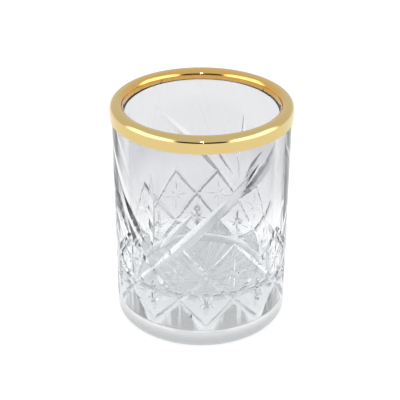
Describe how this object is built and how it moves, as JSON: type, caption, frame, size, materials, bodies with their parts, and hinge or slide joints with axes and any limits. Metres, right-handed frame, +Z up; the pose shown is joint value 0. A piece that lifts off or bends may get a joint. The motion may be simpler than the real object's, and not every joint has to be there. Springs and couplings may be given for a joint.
{
  "type": "shot glass",
  "caption": "Straight-sided pressed glass cup with a thick solid base, a diamond-cut wall with open fans, and a polished gold-coloured metal collar over the lip.",
  "frame": {"origin": "middle of the flat base, on the surface the glass stands on", "axes": "+Z up along the axis of the cup; -Y is the front; the first open fan of the cut pattern is 32.8 degrees to the left of the front, seen from outside"},
  "size_m": [0.0466, 0.0466, 0.06],
  "materials": {
    "clear_glass": "polished clear glass with crisp mitre cuts",
    "gold_brass": "polished gold-coloured plating",
    "bonding_bead": "cured clear bonding resin"
  },
  "bodies": {
    "root": {"glass_body": "clear_glass", "rim_collar": "gold_brass", "rim_adhesive": "bonding_bead"}
  },
  "joints": []
}
